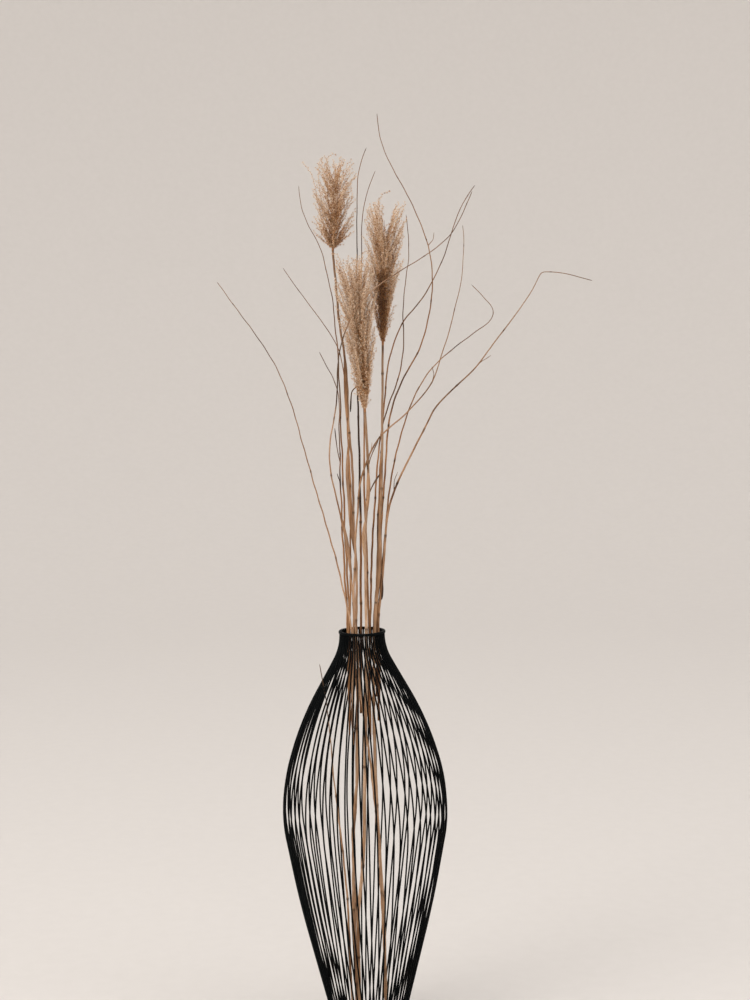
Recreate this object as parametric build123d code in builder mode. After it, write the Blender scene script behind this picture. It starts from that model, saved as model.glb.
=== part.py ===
"""Open-wire floor vase with a removable bunch of dried grass plumes and curly twigs.

Millimetres, +Z up. The origin is the centre of the base plate's underside, on the floor.
"""

from build123d import *
import os
from math import hypot, tan, radians, sin, cos

os.makedirs("parts", exist_ok=True)

# Vase: heights, rings and plate
vase_height = 770.0
rim_thickness = 4.0
ring_width = 6.0
edge_rounding = 1.5
foot_ring_height = 6.0
base_plate_thickness = 4.0
base_plate_chamfer = 0.5

# Vase: the wires
wire_count = 66
wires_in_group = 3
wire_diameter = 3.0
wire_pitch = 360.0 / wire_count
first_wire_angle = 0.75  # turns the wires so that the stray twig passes between two of them
wire_lean = 1.3  # degrees that each wire's plane leans sideways, which gives the body a slight twist
lean_height = 390.0  # height at which each wire crosses its own radius line

# One wire's outline as corners (radius, height), with the bend radius at each inner corner
trim_length = 6.0  # extra wire at both ends, cut off level where the wire meets its ring
collar_radius = 40.0
foot_slope = 0.25  # radius gained for each millimetre of height, above the foot
foot_radius = 61.5
wire_top = vase_height - rim_thickness
wire_bottom = base_plate_thickness + foot_ring_height
lowest_point = wire_bottom - trim_length
wire_corners = [
    (collar_radius, wire_top + trim_length),
    (collar_radius + 0.5, 738.0),
    (119.0, 597.0),
    (153.5, 478.0),
    (153.5, 401.0),
    (125.0, 253.0),
    (foot_radius + foot_slope * lowest_point, lowest_point),
]
wire_bends = [100.0, 600.0, 350.0, 270.0, 2000.0]

# Bunch: diameters
twig_diameter = 3.4
stalk_diameter = 5.0
front_stalk_diameter = 6.0
stray_diameter = 2.4
stem_foot = 5.0  # height of the lower ends that reach down, just clear of the base plate
plume_tip_radius = 8.0
plume_fullest = 0.65  # where a plume is widest, as a share of its length from its base


def end_radius(radius, height):
    """Distance from the vase's axis of a leaning wire's centre at this height."""
    sideways = tan(radians(wire_lean)) * (height - lean_height)
    return hypot(radius, sideways)


def save(piece, name):
    piece.part.label = name
    export_step(piece.part, f"parts/{name}.step")


# ---------------------------------------------------------------- base plate and rings

rim_radius = end_radius(collar_radius, wire_top)
foot_ring_radius = end_radius(foot_radius + foot_slope * wire_bottom, wire_bottom)

with BuildPart() as base_plate:
    with BuildSketch():
        Circle(foot_ring_radius + ring_width / 2)
    extrude(amount=base_plate_thickness)
    chamfer(base_plate.faces().sort_by(Axis.Z)[0].edges(), length=base_plate_chamfer)
save(base_plate, "base_plate")


def flat_ring(mean_radius, bottom, height):
    """A ring of flat bar, lying level with its underside at this height."""
    with BuildPart() as ring:
        with BuildSketch(Plane.XY.offset(bottom)):
            Circle(mean_radius + ring_width / 2)
            Circle(mean_radius - ring_width / 2, mode=Mode.SUBTRACT)
        extrude(amount=height)
    return ring


foot_ring = flat_ring(foot_ring_radius, base_plate_thickness, foot_ring_height)
save(foot_ring, "foot_ring")

rim_ring = flat_ring(rim_radius, wire_top, rim_thickness)
with rim_ring:
    fillet(rim_ring.faces().sort_by(Axis.Z)[-1].edges(), radius=edge_rounding)
save(rim_ring, "rim_ring")

# ---------------------------------------------------------------- the wires

lean = radians(wire_lean)
wire_plane = Plane(origin=(0, 0, lean_height), x_dir=(1, 0, 0), z_dir=(0, -cos(lean), -sin(lean)))

with BuildPart() as wire:
    with BuildLine(wire_plane) as wire_path:
        corners = [(radius, height - lean_height) for radius, height in wire_corners]
        FilletPolyline(*corners, radius=wire_bends)
    with BuildSketch(Plane(origin=wire_path.line @ 0, z_dir=wire_path.line % 0)):
        Circle(wire_diameter / 2)
    sweep(path=wire_path.line)
    split(bisect_by=Plane.XY.offset(wire_top), keep=Keep.BOTTOM)
    split(bisect_by=Plane.XY.offset(wire_bottom), keep=Keep.TOP)

for group in range(wire_count // wires_in_group):
    first_angle = first_wire_angle + group * wires_in_group * wire_pitch
    with BuildPart() as wires:
        with PolarLocations(0, wires_in_group, first_angle, wires_in_group * wire_pitch):
            add(wire.part)
    save(wires, f"wires_{group + 1:02d}")

# ---------------------------------------------------------------- stems


def bend_radii(points):
    """The largest arcs that fit each corner: 0.45 of the shorter run over the tangent of half the turn."""
    places = [Vector(*point) for point in points]
    radii = []
    for before, corner, after in zip(places, places[1:], places[2:]):
        run_in = corner - before
        run_out = after - corner
        half_turn = radians(run_in.get_angle(run_out)) / 2
        radii.append(0.45 * min(run_in.length, run_out.length) / tan(half_turn))
    return radii


def stem(points, diameter):
    """A round stem along straight runs joined by tangent arcs."""
    with BuildPart() as tube:
        with BuildLine() as path:
            FilletPolyline(*points, radius=bend_radii(points))
        with BuildSketch(Plane(origin=path.line @ 0, z_dir=path.line % 0)):
            Circle(diameter / 2)
        sweep(path=path.line)
    return tube


# Curly twigs, each from its lower end to its tip. Two reach the foot; the others end in the upper belly,
# just under the collar that holds them upright.
twig_routes = {
    "twig_long_left": [
        (32, -12, stem_foot), (31, -14, 200), (22, -24, 430), (0, -33, 620), (-18, -27, 780),
        (-40, -42, 890), (-70, -60, 1010), (-95, -75, 1100), (-120, -88, 1210), (-155, -100, 1290),
        (-210, -112, 1370), (-245, -120, 1420),
    ],
    "twig_thin_left": [
        (-27, -2, 572), (-25, -3, 680), (-24, -3, 780), (-18, -3, 905), (-16, -9, 1050),
        (-21, -12, 1200), (-28, -15, 1290), (-52, -16, 1333), (-90, -18, 1380), (-132, -20, 1445),
    ],
    "twig_short_curl": [
        (-27, 10, 624), (-27, 8, 700), (-26, 6, 780), (-34, 10, 957), (-36, 14, 1125),
        (-34, 16, 1200), (-42, 18, 1240), (-56, 20, 1260), (-70, 24, 1290),
    ],
    "twig_hooked_left": [
        (-20, 18, 548), (-22, 16, 660), (-23, 14, 780), (-30, 22, 1000), (-33, 30, 1200),
        (-38, 40, 1350), (-60, 50, 1475), (-88, 55, 1530), (-102, 58, 1560), (-103, 60, 1598),
    ],
    "twig_crossing": [
        (-19, 2, stem_foot), (-23, 0, 215), (-25, 0, 330), (-17, -2, 460), (-11, -4, 600),
        (-15, -6, 780), (-20, -17, 920), (-42, -21, 1010), (-57, -27, 1095), (-38, -42, 1205),
        (-34, -75, 1280), (-10, -112, 1360), (30, -116, 1403), (80, -122, 1432), (134, -128, 1466),
        (185, -138, 1508), (208, -150, 1570),
    ],
    "twig_right_arching": [
        (28, 9, 596), (29, 8, 690), (28, 8, 780), (33, 16, 970), (41, 24, 1090),
        (50, 33, 1215), (62, 43, 1290), (85, 52, 1342), (115, 57, 1375), (142, 63, 1412),
        (166, 70, 1464), (184, 78, 1515), (197, 84, 1557), (226, 90, 1595),
    ],
    "twig_tallest": [
        (18, 21, 566), (20, 20, 660), (21, 20, 775), (40, 30, 955), (48, 45, 1067),
        (57, 60, 1165), (85, 75, 1240), (120, 88, 1290), (140, 98, 1360), (145, 105, 1420),
        (140, 112, 1485), (112, 120, 1560), (72, 128, 1630), (48, 132, 1690), (45, 135, 1735),
    ],
    "twig_behind_plume": [
        (10, 3, 584), (13, 3, 680), (15, 4, 780), (22, 6, 939), (38, 9, 1125),
        (55, 10, 1190), (78, 12, 1240), (89, 16, 1308), (85, 19, 1356), (90, 22, 1407),
        (103, 28, 1480), (95, 30, 1540),
    ],
    "twig_long_right": [
        (30, -5, 632), (31, -5, 700), (31, -6, 780), (41, -11, 888), (48, -14, 960),
        (60, -17, 1030), (100, -21, 1108), (127, -23, 1152), (142, -24, 1188), (181, -27, 1226),
        (223, -29, 1262), (280, -35, 1340), (318, -38, 1392), (337, -40, 1428), (390, -41, 1424),
        (430, -42, 1412),
    ],
    "twig_right_curl": [
        (25, 19, 640), (27, 18, 700), (29, 17, 775), (44, 28, 920), (57, 38, 1050),
        (90, 48, 1172), (125, 58, 1240), (165, 69, 1280), (218, 79, 1318), (255, 86, 1342),
        (260, 90, 1364), (236, 96, 1392), (218, 100, 1410),
    ],
    "twig_right_upright": [
        (-20, -21, 588), (-18, -21, 680), (-16, -20, 780), (-8, -29, 970), (5, -36, 1075),
        (40, -41, 1140), (100, -44, 1185), (140, -47, 1235), (160, -50, 1300), (188, -54, 1390),
        (199, -58, 1475), (195, -60, 1515),
    ],
    "twig_back_left": [
        (-5, 11, 610), (-3, 12, 690), (-2, 12, 775), (2, 22, 1030), (-1, 32, 1200),
        (3, 65, 1468), (4, 78, 1572), (10, 86, 1640), (24, 92, 1668),
    ],
    "twig_back_right": [
        (12, 26, 556), (13, 27, 660), (14, 27, 775), (8, 42, 1048), (12, 52, 1200),
        (11, 100, 1470), (12, 114, 1541), (28, 124, 1600), (40, 130, 1628),
    ],
}
for name, route in twig_routes.items():
    save(stem(route, twig_diameter), name)

# Stalks, each from its foot to the bottom of its plume
stalk_routes = {
    "back_stalk": [
        (-22, -10, stem_foot), (-24, -12, 215), (-27, -13, 300), (-20, -14, 430), (-10, -14, 560),
        (-9, -14, 775), (-10, -2, 980), (-18, 5, 1200), (-25, 10, 1300), (-34, 15, 1380),
        (-42, 20, 1462), (-41, 21, 1480),
    ],
    "front_stalk": [
        (-15, -27, stem_foot), (-20, -25, 205), (-12, -23, 275), (-2, -22, 370), (0, -22, 500),
        (8, -22, 700), (9, -26, 820), (8, -37, 944), (15, -45, 1020), (18, -52, 1090),
        (13, -58, 1185),
    ],
    "right_stalk": [
        (33, -2, stem_foot), (33, -3, 190), (28, -5, 310), (22, -7, 440), (18, -9, 600),
        (24, -10, 780), (37, -8, 974), (43, -7, 1073), (45, -6, 1200), (48, -5, 1305),
    ],
}
stalk_diameters = {
    "back_stalk": stalk_diameter,
    "front_stalk": front_stalk_diameter,
    "right_stalk": stalk_diameter,
}
for name, route in stalk_routes.items():
    save(stem(route, stalk_diameters[name]), name)


# ---------------------------------------------------------------- plumes


def plume(stalk, length, width):
    """A closed, blunt spindle that goes on from the end of its stalk, in line with the stalk's last run.

    It is widest above its middle, as the plume's branches fan out from its lower half.
    """
    before, base = [Vector(*point) for point in stalk_routes[stalk][-2:]]
    along = (base - before).normalized()
    side = along.cross(Vector(0, 1, 0)).normalized()
    base_radius = stalk_diameters[stalk] / 2
    widest = (width / 2, length * plume_fullest)
    with BuildPart() as spindle:
        with BuildSketch(Plane(origin=base, x_dir=side, z_dir=side.cross(along))):
            with BuildLine():
                Polyline((0, length), (0, 0), (base_radius, 0))
                TangentArc(widest, (base_radius, 0), tangent=(0, -1))
                TangentArc(widest, (plume_tip_radius, length), tangent=(0, 1))
                Line((plume_tip_radius, length), (0, length))
            make_face()
        revolve(axis=Axis(base, along))
    return spindle


save(plume("back_stalk", length=174, width=68), "back_plume")
save(plume("front_stalk", length=293, width=68), "front_plume")
save(plume("right_stalk", length=272, width=64), "right_plume")

# ---------------------------------------------------------------- stray twig between the wires

stray_route = [
    (-30, -36, base_plate_thickness - trim_length), (-34, -36, 240), (-42, -36, 350), (-55, -35, 465),
    (-63, -31, 582), (-69, -28, 645), (-76, -27, 690), (-80, -26, 712),
]
stray_twig = stem(stray_route, stray_diameter)
with stray_twig:
    split(bisect_by=Plane.XY.offset(base_plate_thickness), keep=Keep.TOP)
save(stray_twig, "stray_twig")
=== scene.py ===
"""Black wire floor vase with a dried bunch of three grass plumes and curly twigs.

Metres, +Z up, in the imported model's frame. Routes, profiles and their sizes are written in
millimetres and scaled by MM.
"""

import math

import bpy
import numpy as np
from mathutils import Matrix


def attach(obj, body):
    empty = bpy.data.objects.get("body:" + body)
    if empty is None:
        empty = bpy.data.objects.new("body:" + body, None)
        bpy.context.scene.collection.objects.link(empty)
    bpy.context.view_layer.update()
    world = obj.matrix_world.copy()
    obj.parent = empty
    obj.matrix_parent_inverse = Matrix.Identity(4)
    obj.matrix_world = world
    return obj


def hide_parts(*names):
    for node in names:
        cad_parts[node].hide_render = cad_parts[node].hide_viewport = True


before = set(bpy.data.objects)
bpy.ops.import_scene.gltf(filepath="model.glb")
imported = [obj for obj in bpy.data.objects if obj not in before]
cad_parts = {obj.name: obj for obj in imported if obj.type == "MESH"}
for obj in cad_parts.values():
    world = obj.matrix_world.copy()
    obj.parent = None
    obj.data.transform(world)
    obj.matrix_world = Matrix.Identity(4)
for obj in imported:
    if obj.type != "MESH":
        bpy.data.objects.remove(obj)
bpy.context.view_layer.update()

MM = 0.001
UP = np.array([0.0, 0.0, 1.0])
FULL_TURN = 2 * math.pi

# ---------------------------------------------------------------- mesh building


def unit(vectors):
    vectors = np.asarray(vectors, float)
    return vectors / np.maximum(np.linalg.norm(vectors, axis=-1, keepdims=True), 1e-12)


def across(direction):
    """Any unit vector at right angles to a direction."""
    helper = np.array([1.0, 0.0, 0.0]) if abs(direction[0]) < 0.7 else np.array([0.0, 1.0, 0.0])
    return unit(np.cross(direction, helper))


def angles_around(count):
    """Even angles of one full turn."""
    return np.arange(count) * 2 * np.pi / count


class Pieces:
    """Collects closed shapes, with values at their points, that become one Blender object."""

    def __init__(self):
        self.points, self.faces, self.values, self.count = [], [], {}, 0

    def add(self, points, faces, **values):
        """Adds a shape. Each value is one number, or one for each of its points."""
        points = np.asarray(points, float).reshape(-1, 3)
        for corners in faces:
            self.faces.append(np.asarray(corners, np.int64) + self.count)
        for name, value in values.items():
            full = np.broadcast_to(np.asarray(value, float), (len(points),))
            self.values.setdefault(name, []).append(full)
        self.points.append(points)
        self.count += len(points)

    def build(self, name, material, body, slot, replaces):
        """Makes the object. It rides on a body and stands in for the CAD nodes that it replaces."""
        points = np.concatenate(self.points)
        sizes = np.concatenate([np.full(len(f), f.shape[1]) for f in self.faces])
        corners = np.concatenate([f.ravel() for f in self.faces])
        mesh = bpy.data.meshes.new(name)
        mesh.vertices.add(len(points))
        mesh.vertices.foreach_set("co", points.astype(np.float32).ravel())
        mesh.loops.add(len(corners))
        mesh.loops.foreach_set("vertex_index", corners.astype(np.int32))
        mesh.polygons.add(len(sizes))
        mesh.polygons.foreach_set("loop_start", (np.cumsum(sizes) - sizes).astype(np.int32))
        mesh.polygons.foreach_set("use_smooth", np.ones(len(sizes), bool))
        for value_name, parts in self.values.items():
            attribute = mesh.attributes.new(value_name, "FLOAT", "POINT")
            attribute.data.foreach_set("value", np.concatenate(parts).astype(np.float32))
        mesh.update(calc_edges=True)
        mesh.validate()
        mesh.materials.append(material)
        piece = bpy.data.objects.new(name, mesh)
        bpy.context.scene.collection.objects.link(piece)
        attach(piece, body)
        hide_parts(*replaces)


SPAN_POINTS = 24  # points along each span of a curve, before it is resampled


def smooth_line(route, step):
    """A quadratic B-spline on the route's points, resampled at even steps along its length."""
    route = np.asarray(route, float)
    middles = (route[1:-2] + route[2:-1]) / 2
    starts = np.vstack([route[:1], middles])
    ends = np.vstack([middles, route[-1:]])
    t = np.linspace(0, 1, SPAN_POINTS, endpoint=False)[:, None]
    spans = [
        a * (1 - t) ** 2 + 2 * b * t * (1 - t) + c * t**2
        for a, b, c in zip(starts, route[1:-1], ends)]
    return resample(np.vstack([*spans, route[-1:]]), step)


def run_lengths(line):
    """How far along the line each of its points is."""
    return np.concatenate([[0], np.cumsum(np.linalg.norm(np.diff(line, axis=0), axis=1))])


def resample(line, step):
    """The same line with points at even steps along its length."""
    lengths = run_lengths(line)
    wanted = np.linspace(0, lengths[-1], max(4, int(lengths[-1] / step)))
    return np.stack([np.interp(wanted, lengths, line[:, i]) for i in range(3)], axis=1)


def line_frames(line):
    """Directions along a line, and two more at right angles that turn as little as they can."""
    along = unit(np.gradient(line, axis=0))
    side = across(along[0])
    sides = []
    for direction in along:
        side = unit(side - direction * (side @ direction))
        sides.append(side)
    sides = np.array(sides)
    return along, sides, np.cross(along, sides)


def grid_faces(rings, around):
    """Quads between rings of points, and a face to close each end."""
    ring_start = np.arange(rings - 1)[:, None] * around
    a = np.arange(around)[None, :]
    b = (a + 1) % around
    quads = np.stack([a, b, around + b, around + a], axis=-1) + ring_start[..., None]
    quads = quads.reshape(-1, 4)
    first = np.arange(around)[::-1][None, :]
    last = (np.arange(around) + (rings - 1) * around)[None, :]
    return [quads, first, last]


def tube(line, radius, around):
    """A closed tube. radius is one number, one for each point, or one for each point and side."""
    _, side, over = line_frames(line)
    angle = angles_around(around)[None, :, None]
    radius = np.asarray(radius, float)
    if radius.ndim < 2:
        radius = np.broadcast_to(radius, (len(line),))[:, None]
    radius = np.broadcast_to(radius, (len(line), around))
    ring = np.cos(angle) * side[:, None] + np.sin(angle) * over[:, None]
    return line[:, None] + radius[..., None] * ring, grid_faces(len(line), around)


BLADE_SIDES = 12


def blade(line, half_width, half_thickness, facing, cup):
    """A closed thin leaf whose flat side faces one way, cupped across its width."""
    along = unit(np.gradient(line, axis=0))
    wide = unit(np.cross(along, facing))
    out = np.cross(wide, along)
    angle = angles_around(BLADE_SIDES)[None, :, None]
    c, s = np.cos(angle), np.sin(angle)
    width = half_width[:, None, None]
    ring = width * c * wide[:, None] + (half_thickness * s - cup * width * c**2) * out[:, None]
    return line[:, None] + ring, grid_faces(len(line), BLADE_SIDES)


def unit_ring(around):
    """Points of a level circle of radius 1."""
    angle = angles_around(around)
    return np.stack([np.cos(angle), np.sin(angle), 0 * angle], axis=1)


def lathe(centre, profile, around):
    """A closed turned shape about a vertical line: profile is (radius, height) rows."""
    ring = unit_ring(around)
    rows = [centre + radius * ring + height * UP for radius, height in profile]
    return np.array(rows), grid_faces(len(profile), around)


def many_faces(pattern, size, copies):
    """One shape's faces repeated for copies of it that have this many points each."""
    starts = np.arange(copies)[:, None, None] * size
    return (np.asarray(pattern)[None] + starts).reshape(-1, len(pattern[0]))


def arcs(roots, along, length, turn, bend_way, stations):
    """Points and cross directions of many circular arcs at once."""
    away = unit(bend_way - along * np.sum(bend_way * along, axis=1, keepdims=True))
    over = np.cross(along, away)
    t = np.linspace(0, 1, stations)[None, :, None] * turn[:, None, None]
    size = (length / turn)[:, None, None]
    line = roots[:, None] + size * (np.sin(t) * along[:, None] + (1 - np.cos(t)) * away[:, None])
    normal = np.cos(t) * away[:, None] - np.sin(t) * along[:, None]
    return line, normal, np.broadcast_to(over[:, None], normal.shape)


def add_spindles(pieces, roots, along, length, turn, bend_way, radius, profile, around, **values):
    """Many small curved shapes that taper to a point at both ends, or at the far end only.

    profile is the share of the radius at even stations; a first share above 0 gives a flat lower end.
    """
    copies, stations = len(roots), len(profile)
    line, normal, over = arcs(roots, along, length, turn, bend_way, stations)
    angle = angles_around(around)[None, None, :, None]
    size = (radius[:, None] * np.asarray(profile)[None, :])[..., None, None]
    ring_ways = np.cos(angle) * normal[:, :, None] + np.sin(angle) * over[:, :, None]
    rings = line[:, :, None] + size * ring_ways
    open_base = profile[0] > 0
    middle = rings[:, :-1] if open_base else rings[:, 1:-1]
    count = middle.shape[1]
    body = middle.reshape(copies, -1, 3)
    tip = line[:, -1:]
    points = np.concatenate([body, tip] if open_base else [body, tip, line[:, :1]], axis=1)
    per = points.shape[1]
    quads, flat_base, _ = grid_faces(count, around)
    ring = np.arange(around)
    following = (ring + 1) % around
    last = (count - 1) * around
    tips = np.stack([last + ring, last + following, np.full(around, count * around)], axis=1)
    faces = [many_faces(quads, per, copies), many_faces(tips, per, copies)]
    if open_base:
        faces.append(many_faces(flat_base, per, copies))
    else:
        bases = np.stack([following, ring, np.full(around, count * around + 1)], axis=1)
        faces.append(many_faces(bases, per, copies))
    spread = {name: np.repeat(value, per) for name, value in values.items()}
    pieces.add(points, faces, **spread)


# ---------------------------------------------------------------- materials


def add_node(tree, kind, inputs=(), **settings):
    """A shader node: inputs are linked where they are sockets and set where they are values."""
    node = tree.nodes.new(kind)
    for name, value in settings.items():
        setattr(node, name, value)
    for name, value in dict(inputs).items():
        if isinstance(value, bpy.types.NodeSocket):
            tree.links.new(value, node.inputs[name])
        else:
            node.inputs[name].default_value = value
    return node


def stretched(tree, scale):
    """Object coordinates, scaled differently along each axis."""
    place = add_node(tree, "ShaderNodeTexCoord").outputs["Object"]
    return add_node(tree, "ShaderNodeMapping", {"Vector": place, "Scale": scale}).outputs["Vector"]


def noise(tree, scale, detail, distortion=0.0):
    return add_node(tree, "ShaderNodeTexNoise", {
        "Vector": stretched(tree, scale), "Scale": 1.0, "Detail": detail,
        "Roughness": 0.55, "Distortion": distortion}).outputs["Fac"]


def ramp(tree, factor, stops):
    """Colours by position along a ramp."""
    node = add_node(tree, "ShaderNodeValToRGB", {"Fac": factor})
    elements = node.color_ramp.elements
    for i, (position, colour) in enumerate(stops):
        element = elements[i] if i < 2 else elements.new(position)
        element.position = position
        element.color = (*colour, 1)
    return node.outputs["Color"]


def remap(tree, value, new_low, new_high):
    """A noise value, which lies mostly from 0.3 to 0.7, spread over a new range."""
    return add_node(tree, "ShaderNodeMapRange", {
        "Value": value, "From Min": 0.3, "From Max": 0.7,
        "To Min": new_low, "To Max": new_high}).outputs["Result"]


def blend(tree, factor, first, second, kind="MIX"):
    node = add_node(tree, "ShaderNodeMix", data_type="RGBA", blend_type=kind)
    for name, value in (("Factor", factor), ("A", first), ("B", second)):
        socket = [s for s in node.inputs if s.name == name and s.enabled][0]
        if isinstance(value, bpy.types.NodeSocket):
            tree.links.new(value, socket)
        else:
            socket.default_value = value if name == "Factor" else (*value, 1)
    return [s for s in node.outputs if s.enabled][0]


def value_at_points(tree, name):
    return add_node(tree, "ShaderNodeAttribute", attribute_name=name).outputs["Fac"]


BUMP_STRENGTH = 0.6


def finished(name, make):
    """A Principled material.

    make(tree) gives its colour, its roughness, its surface's height, that height's depth in metres
    and a dictionary of plain settings.
    """
    material = bpy.data.materials.new(name)
    material.use_nodes = True
    tree = material.node_tree
    shader = tree.nodes["Principled BSDF"]
    colour, rough, height, depth, settings = make(tree)
    tree.links.new(colour, shader.inputs["Base Color"])
    tree.links.new(rough, shader.inputs["Roughness"])
    bump = add_node(tree, "ShaderNodeBump", {
        "Height": height, "Strength": BUMP_STRENGTH, "Distance": depth})
    tree.links.new(bump.outputs["Normal"], shader.inputs["Normal"])
    for socket, value in settings.items():
        shader.inputs[socket].default_value = value
    return material


def powder_coat(tree):
    """Matt black powder coat with fine orange peel and faint dust."""
    peel = noise(tree, (900, 900, 900), detail=2)
    dust = noise(tree, (14, 14, 9), detail=5)
    colour = ramp(tree, dust, [
        (0.3, (0.0012, 0.0016, 0.0018)), (0.75, (0.0045, 0.0055, 0.0060))])
    rough = remap(tree, dust, 0.46, 0.62)
    return colour, rough, peel, 0.0002, {"Specular IOR Level": 0.03}


def bark_of(pale, middle, deep):
    """Dried stem skin: upright fibres, brown patches, and darker where the attribute "dark" rises."""

    def make(tree):
        fibre = noise(tree, (1100, 1100, 26), detail=3)
        patches = noise(tree, (16, 16, 7), detail=4, distortion=0.6)
        colour = ramp(tree, patches, [(0.34, deep), (0.47, middle), (0.66, pale)])
        streak = ramp(tree, fibre, [(0.32, (0.42, 0.34, 0.28)), (0.6, (1, 1, 1))])
        colour = blend(tree, 0.75, colour, streak, "MULTIPLY")
        colour = blend(tree, value_at_points(tree, "dark"), colour, (0.020, 0.010, 0.006))
        rough = remap(tree, fibre, 0.75, 0.5)
        return colour, rough, fibre, 0.0006, {"Specular IOR Level": 0.18}

    return make


FLUFF_STOPS = (0.05, 0.38, 0.66, 1.0)


def fluff(*shades):
    """Silky hairs: four colours, from pale to nearly black in painted shade as the attribute "depth" rises.
    """

    def make(tree):
        mottle = noise(tree, (190, 190, 150), detail=2)
        varied = add_node(tree, "ShaderNodeMath", {
            0: value_at_points(tree, "depth"), 1: remap(tree, mottle, -0.12, 0.12)},
            operation="ADD", use_clamp=True).outputs[0]
        colour = ramp(tree, varied, list(zip(FLUFF_STOPS, shades)))
        rough = remap(tree, mottle, 0.55, 0.8)
        return colour, rough, mottle, 0.0003, {"Specular IOR Level": 0.25, "Sheen Weight": 0.1}

    return make


COAT = finished("black_powder_coat", powder_coat)
BARKS = [
    finished("bark_tan", bark_of((0.60, 0.385, 0.245), (0.40, 0.225, 0.12), (0.16, 0.075, 0.034))),
    finished("bark_brown", bark_of((0.50, 0.275, 0.135), (0.31, 0.145, 0.058), (0.10, 0.042, 0.017))),
    finished("bark_straw", bark_of((0.70, 0.47, 0.31), (0.50, 0.30, 0.170), (0.24, 0.120, 0.055))),
]
# The darker stops of the hair, seed and branch ramps are painted shade of the plume's dense inside
HAIR = finished("plume_hair", fluff(
    (0.88, 0.71, 0.54), (0.75, 0.50, 0.29), (0.56, 0.25, 0.075), (0.085, 0.034, 0.013)))
SEED = finished("plume_seed", fluff(
    (0.52, 0.31, 0.16), (0.42, 0.205, 0.080), (0.28, 0.098, 0.028), (0.045, 0.018, 0.008)))
BRANCH = finished("plume_branch", fluff(
    (0.60, 0.38, 0.22), (0.44, 0.22, 0.095), (0.26, 0.105, 0.038), (0.050, 0.021, 0.010)))

for node_name in ("base_plate", "foot_ring", "rim_ring"):
    cad_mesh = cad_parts[node_name]
    for material_slot in cad_mesh.material_slots:
        material_slot.material = COAT

# ---------------------------------------------------------------- vase wires

WIRE_COUNT, WIRES_IN_GROUP = 66, 3
FIRST_WIRE_ANGLE = 0.75  # degrees
WIRE_RADIUS = 1.5
WIRE_LEAN = math.radians(1.3)
LEAN_HEIGHT = 390.0  # height at which each wire crosses its own radius line
WIRE_TOP, WIRE_BOTTOM = 766.0, 10.0  # where the wires butt on the rim ring and the foot ring
WIRE_SIDES = 12
WIRE_STEP = 6.0
# One wire's outline as corners (radius, height), with the bend radius at each inner corner
CORNERS = [(40, 772), (40.5, 738), (119, 597), (153.5, 478), (153.5, 401), (125, 253), (62.5, 4)]
BENDS = [100, 600, 350, 270, 2000]
POINTS_PER_BEND = 40
OUTLINE_LEVELS = 400
OUTWARD_BOW = 1.0  # typical bow of a wire in or out at the belly
SIDEWAYS_BOW = 1.5  # and to one side, so that neighbours bunch up and spread
BOW_LIMIT = 1.8  # greatest bow, as a multiple of the typical one
# Weld bead where a wire ends on a ring: (radius, distance from the ring) rows, and its range of sizes
BEAD = [(0.3, 0), (1.85, 0), (2.05, 0.3), (1.9, 0.8), (1.6, 1.2), (1.2, 1.4)]
BEAD_SIZES = (0.92, 1.08)

rng = np.random.default_rng(48)


def filleted(corners, bends):
    """Corners joined by straight runs and tangent arcs, as points."""
    corners = np.asarray(corners, float)
    line = [corners[0]]
    for before, corner, after, bend in zip(corners, corners[1:], corners[2:], bends):
        run_in, run_out = unit(corner - before), unit(after - corner)
        half_turn = math.acos(np.clip(run_in @ run_out, -1, 1)) / 2
        reach = bend * math.tan(half_turn)
        side = unit(run_out - run_in)
        centre = corner + side * bend / math.cos(half_turn)
        start, end = corner - run_in * reach, corner + run_out * reach
        for t in np.linspace(0, 1, POINTS_PER_BEND):
            from_start = (start - centre) * math.sin((1 - t) * 2 * half_turn)
            from_end = (end - centre) * math.sin(t * 2 * half_turn)
            line.append(centre + bend * unit(from_start + from_end))
    return np.array([*line, corners[-1]])


def at_heights(line, heights):
    """Points of a rising line at these heights."""
    across_line = [np.interp(heights, line[:, 2], line[:, i]) for i in range(2)]
    return np.stack([*across_line, heights], axis=1)


# The wire at angle 0, rising in a plane that leans sideways about the lean height
outline = filleted(CORNERS, BENDS)[::-1]
above_lean = outline[:, 1] - LEAN_HEIGHT
leaning_wire = np.stack([
    outline[:, 0],
    -math.sin(WIRE_LEAN) * above_lean,
    LEAN_HEIGHT + math.cos(WIRE_LEAN) * above_lean], axis=1)
# Heights along it, closer together where the outline bends
place_on_wire = np.linspace(0, 1, len(leaning_wire))
levels = np.interp(np.linspace(0, 1, OUTLINE_LEVELS), place_on_wire, leaning_wire[:, 2])
levels = levels[(levels > WIRE_BOTTOM) & (levels < WIRE_TOP)]
levels = np.array([WIRE_BOTTOM, *levels, WIRE_TOP])
wire_line = resample(at_heights(leaning_wire, levels), WIRE_STEP)
share = (wire_line[:, 2] - WIRE_BOTTOM) / (WIRE_TOP - WIRE_BOTTOM)
single_bow, double_bow = np.sin(np.pi * share), np.sin(FULL_TURN * share)

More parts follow.
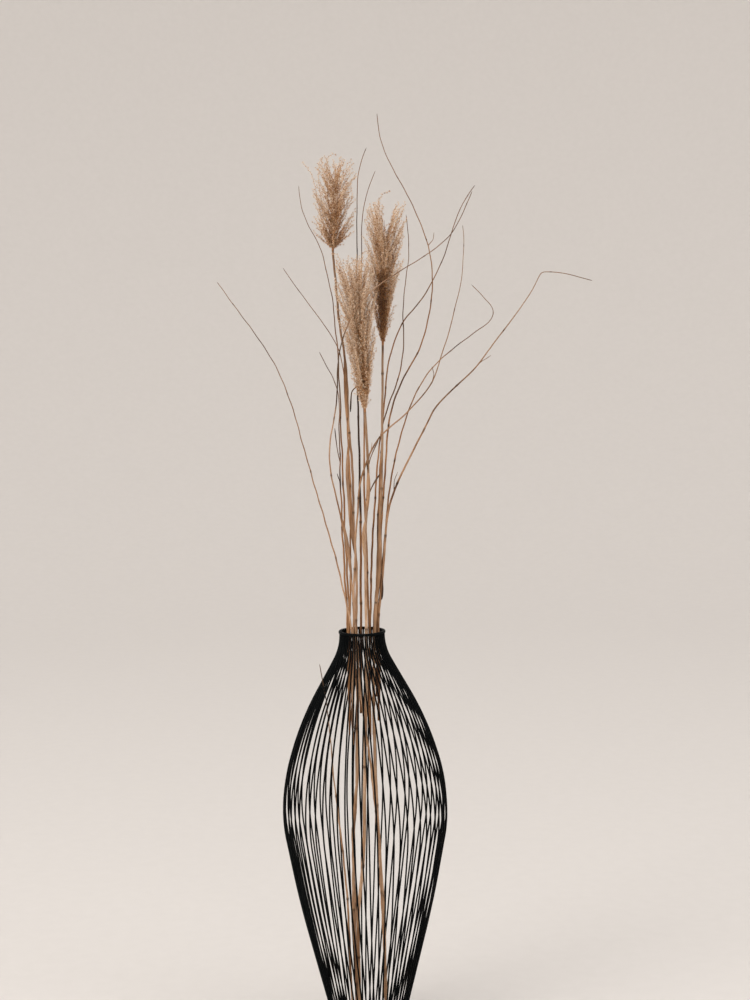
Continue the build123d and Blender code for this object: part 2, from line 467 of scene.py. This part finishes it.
for group in range(WIRE_COUNT // WIRES_IN_GROUP):
    trio = Pieces()
    for member in range(WIRES_IN_GROUP):
        bow = np.clip(rng.normal(0, 1, 4), -BOW_LIMIT, BOW_LIMIT)
        strayed = wire_line.copy()
        strayed[:, 0] += OUTWARD_BOW * (bow[0] * single_bow + 0.4 * bow[1] * double_bow)
        strayed[:, 1] += SIDEWAYS_BOW * (bow[2] * single_bow + 0.5 * bow[3] * double_bow)
        wire_index = group * WIRES_IN_GROUP + member
        turn = math.radians(FIRST_WIRE_ANGLE + wire_index * 360 / WIRE_COUNT)
        c, s = math.cos(turn), math.sin(turn)
        placed = strayed @ np.array([[c, s, 0], [-s, c, 0], [0, 0, 1]]) * MM
        trio.add(*tube(placed, WIRE_RADIUS * MM, WIRE_SIDES))
        for end, way in ((placed[0], 1), (placed[-1], -1)):
            size = rng.uniform(*BEAD_SIZES)
            profile = [(radius * size * MM, way * height * size * MM) for radius, height in BEAD]
            points, faces = lathe(end, profile, WIRE_SIDES)
            if way < 0:  # a bead that hangs down is inside out unless its faces are turned
                faces = [f[:, ::-1] for f in faces]
            trio.add(points, faces)
    number = f"{group + 1:02d}"
    trio.build(f"wire_trio_{number}", COAT, "vase", "wire_black", [f"wires_{number}"])

# ---------------------------------------------------------------- stems

# Each stem's route, from its lower end in the vase to its tip
FOOT = 5
TWIGS = {
    "twig_long_left": [
        (32, -12, FOOT), (31, -14, 200), (22, -24, 430), (0, -33, 620), (-18, -27, 780), (-40, -42, 890),
        (-70, -60, 1010), (-95, -75, 1100), (-120, -88, 1210), (-155, -100, 1290), (-210, -112, 1370),
        (-245, -120, 1420)],
    "twig_thin_left": [
        (-27, -2, 572), (-25, -3, 680), (-24, -3, 780), (-18, -3, 905), (-16, -9, 1050), (-21, -12, 1200),
        (-28, -15, 1290), (-52, -16, 1333), (-90, -18, 1380), (-132, -20, 1445)],
    "twig_short_curl": [
        (-27, 10, 624), (-27, 8, 700), (-26, 6, 780), (-34, 10, 957), (-36, 14, 1125), (-34, 16, 1200),
        (-42, 18, 1240), (-56, 20, 1260), (-70, 24, 1290)],
    "twig_hooked_left": [
        (-20, 18, 548), (-22, 16, 660), (-23, 14, 780), (-30, 22, 1000), (-33, 30, 1200), (-38, 40, 1350),
        (-60, 50, 1475), (-88, 55, 1530), (-102, 58, 1560), (-103, 60, 1598)],
    "twig_crossing": [
        (-19, 2, FOOT), (-23, 0, 215), (-25, 0, 330), (-17, -2, 460), (-11, -4, 600), (-15, -6, 780),
        (-20, -17, 920), (-42, -21, 1010), (-57, -27, 1095), (-38, -42, 1205), (-34, -75, 1280),
        (-10, -112, 1360), (30, -116, 1403), (80, -122, 1432), (134, -128, 1466), (185, -138, 1508),
        (208, -150, 1570)],
    "twig_right_arching": [
        (28, 9, 596), (29, 8, 690), (28, 8, 780), (33, 16, 970), (41, 24, 1090), (50, 33, 1215),
        (62, 43, 1290), (85, 52, 1342), (115, 57, 1375), (142, 63, 1412), (166, 70, 1464), (184, 78, 1515),
        (197, 84, 1557), (226, 90, 1595)],
    "twig_tallest": [
        (18, 21, 566), (20, 20, 660), (21, 20, 775), (40, 30, 955), (48, 45, 1067), (57, 60, 1165),
        (85, 75, 1240), (120, 88, 1290), (140, 98, 1360), (145, 105, 1420), (140, 112, 1485),
        (112, 120, 1560), (72, 128, 1630), (48, 132, 1690), (45, 135, 1735)],
    "twig_behind_plume": [
        (10, 3, 584), (13, 3, 680), (15, 4, 780), (22, 6, 939), (38, 9, 1125), (55, 10, 1190),
        (78, 12, 1240), (89, 16, 1308), (85, 19, 1356), (90, 22, 1407), (103, 28, 1480), (95, 30, 1540)],
    "twig_long_right": [
        (30, -5, 632), (31, -5, 700), (31, -6, 780), (41, -11, 888), (48, -14, 960), (60, -17, 1030),
        (100, -21, 1108), (127, -23, 1152), (142, -24, 1188), (181, -27, 1226), (223, -29, 1262),
        (280, -35, 1340), (318, -38, 1392), (333, -40, 1420), (338, -40, 1428), (346, -40, 1429),
        (390, -41, 1424), (430, -42, 1412)],
    "twig_right_curl": [
        (25, 19, 640), (27, 18, 700), (29, 17, 775), (44, 28, 920), (57, 38, 1050), (90, 48, 1172),
        (125, 58, 1240), (165, 69, 1280), (218, 79, 1318), (255, 86, 1342), (260, 90, 1364),
        (236, 96, 1392), (218, 100, 1410)],
    "twig_right_upright": [
        (-20, -21, 588), (-18, -21, 680), (-16, -20, 780), (-8, -29, 970), (5, -36, 1075), (40, -41, 1140),
        (100, -44, 1185), (140, -47, 1235), (160, -50, 1300), (188, -54, 1390), (199, -58, 1475),
        (195, -60, 1515)],
    "twig_back_left": [
        (-5, 11, 610), (-3, 12, 690), (-2, 12, 775), (2, 22, 1030), (-1, 32, 1200), (3, 65, 1468),
        (4, 78, 1572), (10, 86, 1640), (24, 92, 1668)],
    "twig_back_right": [
        (12, 26, 556), (13, 27, 660), (14, 27, 775), (8, 42, 1048), (12, 52, 1200), (11, 100, 1470),
        (12, 114, 1541), (28, 124, 1600), (40, 130, 1628)],
}
STALKS = {
    "back_stalk": [
        (-22, -10, FOOT), (-24, -12, 215), (-27, -13, 300), (-20, -14, 430), (-10, -14, 560), (-9, -14, 775),
        (-10, -2, 980), (-18, 5, 1200), (-25, 10, 1300), (-34, 15, 1380), (-42, 20, 1462), (-41, 21, 1480)],
    "front_stalk": [
        (-15, -27, FOOT), (-20, -25, 205), (-12, -23, 275), (-2, -22, 370), (0, -22, 500), (8, -22, 700),
        (9, -26, 820), (8, -37, 944), (15, -45, 1020), (18, -52, 1090), (13, -58, 1185)],
    "right_stalk": [
        (33, -2, FOOT), (33, -3, 190), (28, -5, 310), (22, -7, 440), (18, -9, 600), (24, -10, 780),
        (37, -8, 974), (43, -7, 1073), (45, -6, 1200), (48, -5, 1305)],
}
# The twig caught between two of the vase's wires
STRAY = [
    (-30, -36, 4), (-34, -36, 240), (-42, -36, 350), (-55, -35, 465), (-63, -31, 582), (-69, -28, 645),
    (-76, -27, 690), (-80, -26, 712)]

# Per stem: bark, radius at its lower end, the tip's share of that radius, spacing of its joints,
# and dark stretches (from height, to height, how dark)
STEM_LOOKS = {
    "twig_long_left": (0, 2.0, 0.30, 150, [(1300, 1330, 0.5), (1395, 1425, 0.4)]),
    "twig_thin_left": (1, 1.6, 0.32, 130, [(1325, 1350, 0.5)]),
    "twig_short_curl": (1, 1.8, 0.35, 110, [(1035, 1070, 0.9), (1235, 1275, 0.6)]),
    "twig_hooked_left": (1, 1.8, 0.30, 140, [(1150, 1290, 0.6), (1380, 1520, 0.35)]),
    "twig_crossing": (0, 1.9, 0.35, 120, [(1190, 1330, 0.8), (1560, 1575, 0.6)]),
    "twig_right_arching": (1, 1.9, 0.35, 120, [(1200, 1290, 0.3)]),
    "twig_tallest": (1, 1.8, 0.35, 135, [(1180, 1250, 0.6), (1520, 1640, 0.35)]),
    "twig_behind_plume": (1, 1.8, 0.32, 125, [(1150, 1230, 0.6)]),
    "twig_long_right": (0, 1.9, 0.35, 120, [(1180, 1250, 0.4), (1330, 1410, 0.25)]),
    "twig_right_curl": (1, 1.7, 0.35, 115, [(1270, 1360, 0.4)]),
    "twig_right_upright": (0, 1.8, 0.32, 125, [(1380, 1470, 0.4)]),
    "twig_back_left": (1, 2.1, 0.30, 160, [(985, 1215, 0.93), (1465, 1560, 0.8)]),
    "twig_back_right": (1, 1.9, 0.30, 150, [(1400, 1470, 0.4)]),
    "back_stalk": (0, 2.5, 0.80, 175, [(1420, 1470, 0.5)]),
    "front_stalk": (2, 3.0, 0.75, 210, []),
    "right_stalk": (2, 2.6, 0.80, 180, [(1285, 1305, 0.7)]),
    "stray_twig": (0, 1.9, 0.40, 120, [(600, 712, 0.7)]),
}


STEM_STEP = 4.0  # distance between the points of a stem or a clasping leaf
STEM_SIDES = 12
SHOOT_STEP = 1.5
SHOOT_SIDES = 8
WANDER = ((0.55, 190), (0.35, 95), (0.16, 41))  # a stem's waves: typical size and pitch of each
JOINT_SWELLING = 0.30
JOINT_REACH = 2.6
RIB_DEPTH = 0.045
RIB_TWIST = 55  # length over which the ribs turn by one radian
GRAIN_DEPTH = 0.012
LEAF_HALF_THICKNESS = 0.35
LEAF_CUP = 0.55


def smoothstep(value, low, high):
    """0 up to low and 1 from high, with a soft rise between."""
    t = np.clip((value - low) / (high - low), 0, 1)
    return t * t * (3 - 2 * t)


def stem_shape(route, lowest, tip_share, spacing, dark_runs, seed):
    """A stem's line, its radii by point and side, and how dark it is at each point."""
    chance = np.random.default_rng(seed)
    line = smooth_line(route, STEM_STEP)
    length = run_lengths(line)
    total = length[-1]
    _, side, over = line_frames(line)
    free = smoothstep(length, 0, 60) * smoothstep(total - length, 0, 40)
    for way in (side, over):
        wave = sum(
            chance.normal(0, size) * np.sin(FULL_TURN * length / pitch + chance.uniform(0, 6.3))
            for size, pitch in WANDER)
        line = line + (wave * free)[:, None] * way
    radius = lowest * (1.05 - (1.05 - tip_share) * smoothstep(length / total, 0.25, 1.05) ** 0.9)
    dark = np.zeros(len(line))
    for low, high, amount in dark_runs:
        above_low = smoothstep(line[:, 2], low - 15, low + 10)
        above_high = smoothstep(line[:, 2], high - 10, high + 15)
        dark = np.maximum(dark, amount * (above_low * (1 - above_high)))
    joint = chance.uniform(0.3, 1.0) * spacing
    while joint < total - 20:
        bulge = np.exp(-(((length - joint) / JOINT_REACH) ** 2))
        below = np.exp(-(((length - joint + 6) / 5.0) ** 2))
        radius = radius * (1 + JOINT_SWELLING * bulge)
        dark = np.maximum(dark, 0.75 * bulge + 0.25 * below)
        joint += spacing * chance.uniform(0.75, 1.25)
    dark = np.maximum(dark, 0.40 * smoothstep(length / total, 0.5, 0.95))
    dark = np.maximum(dark, 0.7 * smoothstep(length, total - 14, total))
    angle = 3 * angles_around(STEM_SIDES)[None, :] + length[:, None] / RIB_TWIST
    ribs = 1 + RIB_DEPTH * np.cos(angle + chance.uniform(0, 6.3))
    grain = chance.normal(0, GRAIN_DEPTH, (len(line), STEM_SIDES))
    rounded_tip = np.sqrt(np.clip((total - length + 0.4) / 3.0, 0.05, 1))
    sizes = radius[:, None] * (ribs + grain) * rounded_tip[:, None]
    return line, sizes, dark


def nearest(line, point):
    """The point on a line that is closest to another point."""
    return line[np.argmin(np.linalg.norm(line - np.array(point, float), axis=1))]


def add_shoot(pieces, route, thick, thin, dark_low, dark_high):
    """A short side shoot or stub, with its own radius and shade at each end."""
    line = smooth_line(route, SHOOT_STEP)
    t = np.linspace(0, 1, len(line))
    rounded_tip = np.sqrt(np.clip((1.02 - t) * 8, 0.03, 1))
    radius = (thick + (thin - thick) * t) * rounded_tip * (1 + 0.10 * np.sin(9 * t + thick))
    dark = dark_low + (dark_high - dark_low) * t
    points, faces = tube(line * MM, radius * MM, SHOOT_SIDES)
    pieces.add(points, faces, dark=np.repeat(dark, SHOOT_SIDES))


def add_sheath(pieces, route, widest, facing, shade):
    """A dried leaf that clasps its stem and narrows to a point at both ends."""
    line = smooth_line(route, STEM_STEP)
    t = np.linspace(0, 1, len(line))
    tapered = np.sin(np.pi * np.clip(t, 0.015, 0.985)) ** 0.6
    width = widest * tapered * (1 + 0.06 * np.sin(11 * t))
    dark = shade * (0.6 + 0.4 * np.sin(14 * t))
    points, faces = blade(
        line * MM, width * MM, LEAF_HALF_THICKNESS * MM, np.array(facing, float), LEAF_CUP)
    pieces.add(points, faces, dark=np.repeat(dark, BLADE_SIDES))


# Side shoots and stubs: route, radius at its root and at its tip, how dark at each
SHOOTS = {
    "front_stalk": [
        ([(16, -50, 1087), (19, -51, 1098), (24, -52, 1112), (25, -53, 1126)], 0.9, 0.5, 0.3, 0.1),
        ([(15, -49, 1077), (19, -50, 1090), (27, -52, 1110), (37, -53, 1130)], 1.0, 0.9, 0.2, 0.95),
        ([(15, -43, 1020), (19, -43, 1034), (28, -44, 1052), (38, -46, 1066)], 1.0, 1.5, 0.3, 0.95),
        ([(9, -40, 982), (11, -41, 988), (12, -41.5, 994), (12, -42, 1000)], 1.6, 0.9, 0.95, 0.95),
        ([(17, -51, 1072), (16, -52, 1078), (15, -53, 1083), (15, -53, 1088)], 1.5, 0.8, 0.9, 0.9),
    ],
    "right_stalk": [
        ([(33, -9, 905), (37, -12, 893), (40, -13, 868), (40, -13, 840), (38, -13, 829)],
         1.1, 1.6, 0.5, 1.0),
        ([(38, -8, 985), (41, -9, 992), (43, -9.5, 1001), (43, -10, 1010)], 1.3, 0.5, 0.5, 0.9),
    ],
    "twig_back_left": [
        ([(-5, 26, 1225), (-10, 20, 1220), (-13, 14, 1205), (-14, 12, 1178)], 1.0, 1.6, 0.6, 1.0),
    ],
    "twig_short_curl": [
        ([(-35, 13, 1040), (-36, 12, 1050), (-39, 13, 1056), (-41, 13, 1064)], 1.2, 0.6, 0.9, 0.9),
        ([(-36, 14, 1085), (-39, 17, 1102), (-42, 19, 1124), (-44, 20, 1148)], 0.8, 0.9, 0.2, 0.9),
    ],
    "twig_long_right": [
        ([(62, -17, 1034), (64, -16, 1046), (66, -16, 1056), (72, -16, 1068)], 0.9, 0.4, 0.3, 0.5),
        ([(225, -29, 1264), (229, -28, 1270), (238, -27, 1274), (246, -26, 1280)], 0.8, 0.4, 0.3, 0.5),
    ],
    "twig_right_upright": [
        ([(138, -47, 1232), (140, -48, 1244), (139, -48, 1254), (136, -49, 1262)], 0.8, 0.4, 0.4, 0.6),
    ],
    "twig_tallest": [
        ([(140, 112, 1485), (146, 112, 1494), (148, 112, 1500), (149, 113, 1510)], 0.7, 0.4, 0.3, 0.5),
    ],
}
# Clasping leaves: route, greatest half width, the way the flat side faces, shade
SHEATHS = {
    "back_stalk": [
        ([(-14, -6, 905), (-16, -7, 960), (-18, -7, 1022), (-22, -7, 1080), (-25, -8, 1135)],
         4.2, (0.3, -1, 0), 0.25),
        ([(-16, 2, 1100), (-21, 2, 1160), (-24, 2, 1230), (-25, 1, 1290)], 3.2, (-0.5, -1, 0), 0.15),
    ],
    "front_stalk": [
        ([(11, -44, 985), (16, -48, 1020), (18, -53, 1052), (18, -55, 1082)], 3.8, (0.2, -1, 0), 0.10),
        ([(5, -32, 905), (6, -36, 935), (7, -41, 960), (8, -44, 988)], 4.6, (-0.3, -1, 0), 0.20),
    ],
    "right_stalk": [
        ([(27, -15, 800), (33, -15, 860), (38, -14, 925), (40, -13, 985)], 3.6, (0.2, -1, 0), 0.15),
    ],
    "twig_crossing": [
        ([(-17, -13, 850), (-20, -20, 905), (-26, -23, 950), (-40, -24, 1003)],
         3.0, (-0.2, -1, 0), 0.30),
    ],
}

# A shoot starts on its stem's line, and a clasping leaf starts and ends on it
STEM_ROUTES = {**TWIGS, **STALKS, "stray_twig": STRAY}
FIRST_STEM_SEED = 100
for index, (name, route) in enumerate(STEM_ROUTES.items()):
    bark, *build = STEM_LOOKS[name]
    line, sizes, dark = stem_shape(route, *build, FIRST_STEM_SEED + index)
    stem = Pieces()
    points, faces = tube(line * MM, sizes * MM, STEM_SIDES)
    stem.add(points, faces, dark=np.repeat(dark, STEM_SIDES))
    for (root, *rest), *look in SHOOTS.get(name, []):
        add_shoot(stem, [nearest(line, root), *rest], *look)
    for (low, *rest, high), *look in SHEATHS.get(name, []):
        add_sheath(stem, [nearest(line, low), *rest, nearest(line, high)], *look)
    body = "vase" if name == "stray_twig" else "dried_bunch"
    slot_name = "stalk_tan" if name in STALKS else "twig_brown"
    stem.build(f"{name}_bark", BARKS[bark], body, slot_name, [name])

# ---------------------------------------------------------------- plumes

GOLDEN_TURN = math.pi * (3 - math.sqrt(5))
# Per plume: its stalk, length and greatest width, number of branches, the share of its length over
# which it opens and how roundly (a lower power is rounder), how strongly painted shade darkens its
# inside and lower part, its fork (place across, gap), clumps of painted shade (two ends, radius, shade) and
# loose wisps
PLUMES = {
    "back_plume": {
        "stalk": "back_stalk", "length": 172, "width": 82, "branches": 190,
        "opening": 0.20, "power": 0.55, "inner_shade": 0.75, "fork": None,
        "shade_bundles": [
            ((-30, -4, 1548), (-30, 0, 1482), 17, 0.80),
            ((-52, -2, 1500), (-44, 2, 1486), 11, 0.45)],
        "wisps": [
            [(-53, 22, 1505), (-67, 24, 1560), (-73, 26, 1606), (-84, 26, 1628), (-93, 26, 1637)],
            [(-50, 24, 1520), (-62, 27, 1570), (-66, 28, 1618), (-62, 29, 1643), (-54, 29, 1648)],
            [(-46, 25, 1530), (-50, 28, 1590), (-50, 29, 1640), (-44, 29, 1652), (-34, 29, 1652)],
        ]},
    "front_plume": {
        "stalk": "front_stalk", "length": 289, "width": 82, "branches": 310,
        "opening": 0.74, "power": 0.62, "inner_shade": 0.62, "fork": None,
        "shade_bundles": [
            ((10, -78, 1345), (14, -66, 1222), 10, 0.66),
            ((-29, -80, 1456), (-27, -78, 1424), 4, 0.8)],
        "wisps": [
            [(8, -62, 1330), (-8, -68, 1400), (-24, -72, 1450), (-33, -74, 1470), (-40, -73, 1468)],
            [(6, -64, 1350), (8, -72, 1420), (12, -76, 1462), (18, -77, 1474), (25, -75, 1468)],
        ]},
    "right_plume": {
        "stalk": "right_stalk", "length": 268, "width": 70, "branches": 250,
        "opening": 0.54, "power": 0.70, "inner_shade": 0.8, "fork": (9, 8),
        "shade_bundles": [
            ((47, -26, 1425), (43, -18, 1338), 17, 1.05),
            ((45, -16, 1330), (48, -7, 1300), 9, 0.95),
            ((40, -24, 1490), (47, -26, 1430), 10, 0.55)],
        "wisps": [
            [(44, -4, 1440), (42, -3, 1500), (41, -3, 1545), (45, -3, 1566), (53, -3, 1578),
             (64, -3, 1580)],
            [(52, -4, 1400), (68, -3, 1470), (76, -3, 1520), (80, -3, 1550), (88, -3, 1554)],
        ]},
}
# Thickness along a hair and along a seed, as shares of the greatest
HAIR_PROFILE = [0.7, 1.0, 0.85, 0.6, 0.0]
SEED_PROFILE = [0.0, 0.9, 1.0, 0.5, 0.0]
# Ranges for single hairs and seeds, and the radius of a branch at its root and tip
HAIR_LENGTHS, HAIR_CURLS, HAIR_RADII = (4.0, 6.8), (2.0, 4.6), (0.16, 0.25)
SEED_LENGTHS, SEED_CURLS, SEED_RADII = (2.8, 4.4), (0.1, 0.5), (0.42, 0.62)
BRANCH_RADII = (0.42, 0.16)
HAIR_SIDES, SEED_SIDES, BRANCH_SIDES, AXIS_SIDES = 3, 4, 4, 10
HAIRS_PER_TUFT = 7
TUFT_PITCH = 4.5
TUFT_TURN = 2.4  # radians from one tuft to the next around a branch
TUFTS_PER_PIECE = 1200  # keeps each mesh of hairs small


def plume_radius(plume, level):
    """Half the plume's width at a share of its height: it opens upwards and narrows near the top."""
    opened = np.clip(level / plume["opening"], 0, 1) ** plume["power"]
    crown = 1 - 0.20 * np.clip((level - 0.72) / 0.28, 0, 1.2) ** 2
    return plume["width"] / 2 * opened * crown


def plume_branches(base, along, plume, chance):
    """Branches that leave the axis all the way up and arch out to fill the plume."""
    side = unit(np.cross(np.array([0.0, 1.0, 0.0]), along))
    over = np.cross(along, side)
    length = plume["length"]
    levels = np.linspace(0.06, 0.97, 200)
    weight = np.cumsum(plume_radius(plume, levels) ** 1.5)
    t = np.linspace(0, 1, 26)
    lines = []
    for i in range(plume["branches"]):
        tip = np.interp((i + 0.5) / plume["branches"] * weight[-1], weight, levels)
        spread = chance.uniform(0.03, 1.0) ** 0.42
        reach = spread * plume_radius(plume, tip) * chance.uniform(0.92, 1.03)
        root = max(tip - (0.15 + 0.20 * spread) * chance.uniform(0.8, 1.2), 0.0)
        turn = i * GOLDEN_TURN + chance.normal(0, 0.2)
        way = math.cos(turn) * side + math.sin(turn) * over
        height = length * (root + (tip - root) * t)
        out = reach * (1.15 * t * (1 - t) + t**2)
        line = base + along * height[:, None] + way * out[:, None]
        run = (tip - root) * length * t
        for direction in (side, over):
            size = chance.uniform(0.5, 1.1)
            pitch = chance.uniform(11, 17)
            phase = chance.uniform(0, 6.3)
            curl = size * np.sin(FULL_TURN * run / pitch + phase)
            line = line + (curl * np.minimum(run / 20, 1))[:, None] * direction
        hook = smoothstep(t, 0.8, 1.0)
        outward = hook * chance.uniform(0.5, 2.5)
        droop = hook**2 * chance.uniform(0, 3)
        line = line + outward[:, None] * way - along * droop[:, None]
        if plume["fork"]:
            place, gap = plume["fork"]
            offset = line - base
            sideways = offset @ side - place
            opened = smoothstep(offset @ along / length, 0.58, 0.92) * gap
            line = line + (np.where(sideways[-1] > 0, 1.0, -1.0) * opened)[:, None] * side
        lines.append(line)
    return lines


def painted_inner_shade(root, base, along, plume, chance):
    """Painted shade at each root: more near the axis, low down and in the bundles, with random tone."""
    offset = root - base
    height = offset @ along
    level = np.clip(height / plume["length"], 0, 1)
    radial = np.linalg.norm(offset - height[:, None] * along, axis=1)
    inner = 1 - np.clip(radial / np.maximum(plume_radius(plume, level), 6), 0, 1)
    # Painted shade: darker near the plume's axis and low down in it
    shade = plume["inner_shade"] * (0.75 * inner**1.3 + 0.35 * (1 - level) ** 3)
    # Each bundle adds a clump of painted shade
    for low, high, radius, strength in plume["shade_bundles"]:
        low, run = np.array(low, float), np.array(high, float) - np.array(low, float)
        t = np.clip((root - low) @ run / (run @ run), 0, 1)
        away = np.linalg.norm(root - low - t[:, None] * run, axis=1)
        shade = np.maximum(shade, strength * np.exp(-((away / radius) ** 2)))
    return np.clip(shade + chance.normal(0, 0.15, len(root)), 0, 1)


def place_tufts(line, chance):
    """Roots and directions of the tufts along one branch."""
    line = resample(line, TUFT_PITCH)[1:]
    direction, side, over = line_frames(line)
    turn = np.arange(len(line)) * TUFT_TURN + chance.uniform(0, 6.3)
    out = np.cos(turn)[:, None] * side + np.sin(turn)[:, None] * over
    return line + out * 0.6, unit(direction + out * chance.uniform(0.3, 0.8, len(line))[:, None])


def add_hairs(pieces, root, rise, shade, chance):
    """A tuft of short curly hairs at each root."""
    root, rise, shade = (np.repeat(part, HAIRS_PER_TUFT, axis=0) for part in (root, rise, shade))
    count = len(root)
    way = unit(rise + 0.95 * unit(chance.normal(0, 1, (count, 3))))
    length = chance.uniform(*HAIR_LENGTHS, count)
    curl = chance.uniform(*HAIR_CURLS, count)
    radius = chance.uniform(*HAIR_RADII, count)
    bend_way = chance.normal(0, 1, (count, 3))
    depth = np.clip(shade * chance.uniform(0.8, 1.05, count), 0, 1)
    add_spindles(
        pieces, root * MM, way, length * MM, curl, bend_way, radius * MM, HAIR_PROFILE,
        HAIR_SIDES, depth=depth)


def add_seeds(pieces, root, rise, shade, chance):
    """A seed at each root."""
    count = len(root)
    length = chance.uniform(*SEED_LENGTHS, count)
    curl = chance.uniform(*SEED_CURLS, count)
    bend_way = chance.normal(0, 1, (count, 3))
    radius = chance.uniform(*SEED_RADII, count)
    depth = np.clip(shade + 0.25, 0, 1)
    add_spindles(
        pieces, root * MM, rise, length * MM, curl, bend_way, radius * MM, SEED_PROFILE,
        SEED_SIDES, depth=depth)


FIRST_PLUME_SEED = 500
for index, (name, plume) in enumerate(PLUMES.items()):
    chance = np.random.default_rng(FIRST_PLUME_SEED + index)
    before, base = (np.array(p, float) for p in STALKS[plume["stalk"]][-2:])
    along = unit(base - before)
    branches = plume_branches(base, along, plume, chance)
    branches += [smooth_line(wisp, 2.0) for wisp in plume["wisps"]]

    axis = Pieces()
    t = np.linspace(0, 1, 50)
    axis_line = base - along * 4 + along * (t * plume["length"] * 0.85)[:, None]
    points, faces = tube(axis_line * MM, (2.3 - 2.0 * t) * MM, AXIS_SIDES)
    axis.add(points, faces, depth=0.6)
    tufts = []
    for line in branches:
        # Painted shade of the plume's dense inside, carried by the attribute depth
        shade = painted_inner_shade(line, base, along, plume, chance)
        points, faces = tube(line * MM, np.linspace(*BRANCH_RADII, len(line)) * MM, BRANCH_SIDES)
        axis.add(points, faces, depth=np.repeat(shade, BRANCH_SIDES))
        tufts.append(place_tufts(line, chance))
    axis.build(f"{name}_branches", BRANCH, "dried_bunch", "plume_beige", [name])

    root, rise = (np.concatenate(part) for part in zip(*tufts))
    # Painted shade of the plume's dense inside, carried by the attribute depth
    shade = painted_inner_shade(root, base, along, plume, chance)
    grains = Pieces()
    add_seeds(grains, root, rise, shade, chance)
    grains.build(f"{name}_seeds", SEED, "dried_bunch", "plume_beige", [name])
    order = chance.permutation(len(root))
    for part, mine in enumerate(np.array_split(order, math.ceil(len(root) / TUFTS_PER_PIECE))):
        hairs = Pieces()
        add_hairs(hairs, root[mine], rise[mine], shade[mine], chance)
        hairs.build(f"{name}_hairs_{part + 1}", HAIR, "dried_bunch", "plume_beige", [name])

# ---------------------------------------------------------------- stage, light and camera


def pale_ground(tree):
    grain = noise(tree, (30, 30, 30), detail=4)
    colour = ramp(tree, grain, [(0.3, (0.625, 0.59, 0.56)), (0.7, (0.64, 0.605, 0.575))])
    rough = remap(tree, grain, 0.8, 0.9)
    return colour, rough, grain, 0.0002, {"Specular IOR Level": 0.1}


# A round floor that sweeps up into a wall all round, in metres
GROUND = finished("pale_ground", pale_ground)
GROUND_SIDES = 128
FLOOR_RADIUS, SWEEP_RADIUS, WALL_HEIGHT = 4.6, 5.0, 8.0
rows = [(r, 0.0) for r in (0.02, 1.0, 2.5, 3.8)]
for a in np.linspace(0, np.pi / 2, 24):
    rows.append((FLOOR_RADIUS + SWEEP_RADIUS * math.sin(a), SWEEP_RADIUS * (1 - math.cos(a))))
rows.append((FLOOR_RADIUS + SWEEP_RADIUS, WALL_HEIGHT))
ring = unit_ring(GROUND_SIDES)
ground_points = np.array([r * ring + z * UP for r, z in rows]).reshape(-1, 3)
ground_mesh = bpy.data.meshes.new("ground")
quads, middle, _ = grid_faces(len(rows), GROUND_SIDES)
ground_mesh.from_pydata(ground_points.tolist(), [], quads.tolist() + middle[:, ::-1].tolist())
for polygon in ground_mesh.polygons:
    polygon.use_smooth = True
ground_mesh.materials.append(GROUND)
ground = bpy.data.objects.new("ground", ground_mesh)
bpy.context.scene.collection.objects.link(ground)

world = bpy.data.worlds.new("studio")
bpy.context.scene.world = world
world.use_nodes = True
background = world.node_tree.nodes["Background"]
background.inputs["Color"].default_value = (1.0, 0.99, 0.98, 1)
background.inputs["Strength"].default_value = 1.32


def facing_matrix(right, up, back, place):
    """Turns and places a light or camera, which look along their own -Z."""
    rows = [[right[i], up[i], back[i], place[i]] for i in range(3)]
    return Matrix([*rows, [0, 0, 0, 1]])


LIT_POINT = (0, 0, 1.0)


def soft_light(name, place, width, height, power, colour):
    """A rectangle of light that faces the middle of the object."""
    light = bpy.data.lights.new(name, "AREA")
    light.shape, light.size, light.size_y = "RECTANGLE", width, height
    light.energy, light.color = power, colour
    holder = bpy.data.objects.new(name, light)
    back = unit(np.array(place) - np.array(LIT_POINT))
    right = unit(np.cross(UP, back))
    holder.matrix_world = facing_matrix(right, np.cross(back, right), back, place)
    bpy.context.scene.collection.objects.link(holder)


soft_light("window", (-3.4, -3.0, 3.2), 2.4, 2.6, 125, (1.0, 0.98, 0.95))
soft_light("fill", (3.8, -2.0, 2.6), 2.5, 2.5, 40, (0.96, 0.98, 1.0))

# The camera is at eye height, looks slightly down and is rolled by a degree
CAMERA_PLACE = (0.0286, -3.550, 1.370)
PITCH, ROLL = math.radians(5.72), math.radians(-1.0)
FOCAL_LENGTH, SENSOR_WIDTH = 69.12, 36.0
forward = np.array([0, math.cos(PITCH), -math.sin(PITCH)])
level = np.array([1.0, 0, 0])
above = np.cross(level, forward)
right = math.cos(ROLL) * level + math.sin(ROLL) * above
above = math.cos(ROLL) * above - math.sin(ROLL) * level
camera_data = bpy.data.cameras.new("camera")
camera_data.lens, camera_data.sensor_width = FOCAL_LENGTH, SENSOR_WIDTH
camera = bpy.data.objects.new("camera", camera_data)
camera.matrix_world = facing_matrix(right, above, -forward, CAMERA_PLACE)
bpy.context.scene.collection.objects.link(camera)
bpy.context.scene.camera = camera
bpy.context.scene.view_settings.view_transform = "Standard"
